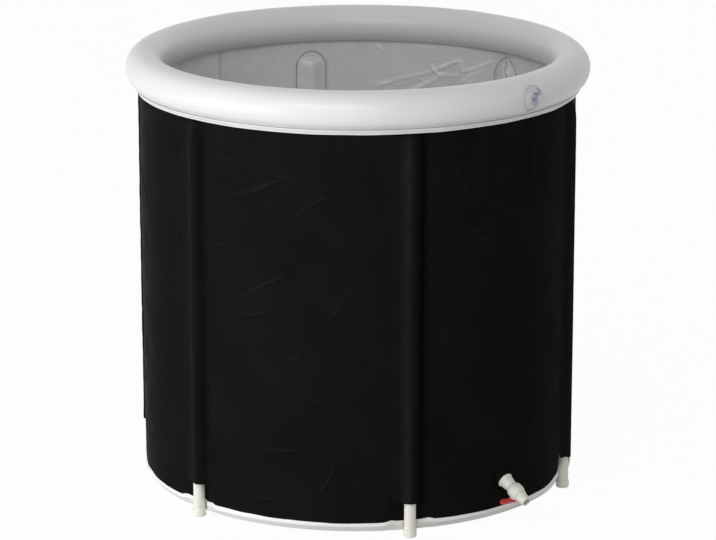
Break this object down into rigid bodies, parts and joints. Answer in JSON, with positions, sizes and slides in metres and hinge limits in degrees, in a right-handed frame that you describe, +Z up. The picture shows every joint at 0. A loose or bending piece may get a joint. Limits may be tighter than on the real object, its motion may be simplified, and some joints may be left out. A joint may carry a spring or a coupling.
{
  "type": "cold plunge tub",
  "caption": "Round portable cold plunge tub: foam-lined fabric wall on removable poles, inflatable rim ring with an air valve, and a drain tap with a quarter-turn lever.",
  "frame": {"origin": "on the floor under the middle of the tub", "axes": "+Z up, -Y towards the viewer of the picture, the drain tap and the air valve between -Y and +X"},
  "size_m": [0.7998, 0.7998, 0.765],
  "materials": {
    "black_fabric": "satin coated fabric",
    "grey_liner": "satin coated fabric",
    "foam": "closed-cell foam",
    "pale_sheet": "satin coated fabric",
    "white_vinyl": "soft satin vinyl",
    "clear_vinyl": "clear soft vinyl",
    "pole_plastic": "extruded pipe",
    "tap_plastic": "moulded",
    "red_plastic": "moulded",
    "seal": "moulded",
    "seat": "turned",
    "steel": "plain"
  },
  "bodies": {
    "tub": {"outer_skin": "black_fabric", "drain_collar": "black_fabric", "pole_sleeve_1": "black_fabric", "pole_sleeve_2": "black_fabric", "pole_sleeve_3": "black_fabric", "pole_sleeve_4": "black_fabric", "pole_sleeve_5": "black_fabric", "pole_sleeve_6": "black_fabric", "inner_liner": "grey_liner", "liner_floor": "grey_liner", "liner_pocket_1": "grey_liner", "liner_pocket_2": "grey_liner", "liner_pocket_3": "grey_liner", "liner_pocket_4": "grey_liner", "liner_pocket_5": "grey_liner", "liner_pocket_6": "grey_liner", "base_foam": "foam", "wall_foam_1": "foam", "wall_foam_2": "foam", "wall_foam_3": "foam", "wall_foam_4": "foam", "wall_foam_5": "foam", "wall_foam_6": "foam", "bottom_hem": "pale_sheet", "base_sheet": "pale_sheet", "air_ring": "white_vinyl", "rim_skirt": "white_vinyl", "air_valve_base": "clear_vinyl", "drain_spigot": "tap_plastic", "drain_nut": "tap_plastic", "tap_body": "tap_plastic", "tap_outlet": "tap_plastic", "drain_gasket": "seal", "tap_seat_in": "seat", "tap_seat_out": "seat"},
    "tap_handle": {"tap_lever": "red_plastic", "tap_stem": "tap_plastic", "tap_ball": "seat", "lever_screw": "steel"},
    "air_plug": {"air_valve_plug": "clear_vinyl"},
    "air_flap": {"air_valve_flap": "clear_vinyl"},
    "pole_set_1": {"pole_1": "pole_plastic", "pole_foot_1": "pole_plastic", "pole_cap_1": "pole_plastic"},
    "pole_set_2": {"pole_2": "pole_plastic", "pole_foot_2": "pole_plastic", "pole_cap_2": "pole_plastic"},
    "pole_set_3": {"pole_3": "pole_plastic", "pole_foot_3": "pole_plastic", "pole_cap_3": "pole_plastic"},
    "pole_set_4": {"pole_4": "pole_plastic", "pole_foot_4": "pole_plastic", "pole_cap_4": "pole_plastic"},
    "pole_set_5": {"pole_5": "pole_plastic", "pole_foot_5": "pole_plastic", "pole_cap_5": "pole_plastic"},
    "pole_set_6": {"pole_6": "pole_plastic", "pole_foot_6": "pole_plastic", "pole_cap_6": "pole_plastic"}
  },
  "joints": [
    {"name": "tap_lever_turn", "type": "hinge", "parent": "tub", "child": "tap_handle", "pos_m": [0.26669, -0.31226, 0.06261], "axis": [0.2745, -0.3214, 0.9063], "range_deg": [0, 90]},
    {"name": "air_plug_pull", "type": "slide", "parent": "tub", "child": "air_plug", "axis": [0.723, -0.6909, 0], "range_m": [0, 0.025]},
    {"name": "air_flap_swing", "type": "hinge", "parent": "tub", "child": "air_flap", "pos_m": [0.27278, -0.26067, 0.7395], "axis": [0.6909, 0.723, 0], "range_deg": [0, 50]},
    {"name": "pole_1_pull", "type": "slide", "parent": "tub", "child": "pole_set_1", "axis": [0, 0, -1], "range_m": [0, 0.63]},
    {"name": "pole_2_pull", "type": "slide", "parent": "tub", "child": "pole_set_2", "axis": [0, 0, -1], "range_m": [0, 0.63]},
    {"name": "pole_3_pull", "type": "slide", "parent": "tub", "child": "pole_set_3", "axis": [0, 0, -1], "range_m": [0, 0.63]},
    {"name": "pole_4_pull", "type": "slide", "parent": "tub", "child": "pole_set_4", "axis": [0, 0, -1], "range_m": [0, 0.63]},
    {"name": "pole_5_pull", "type": "slide", "parent": "tub", "child": "pole_set_5", "axis": [0, 0, -1], "range_m": [0, 0.63]},
    {"name": "pole_6_pull", "type": "slide", "parent": "tub", "child": "pole_set_6", "axis": [0, 0, -1], "range_m": [0, 0.63]}
  ]
}
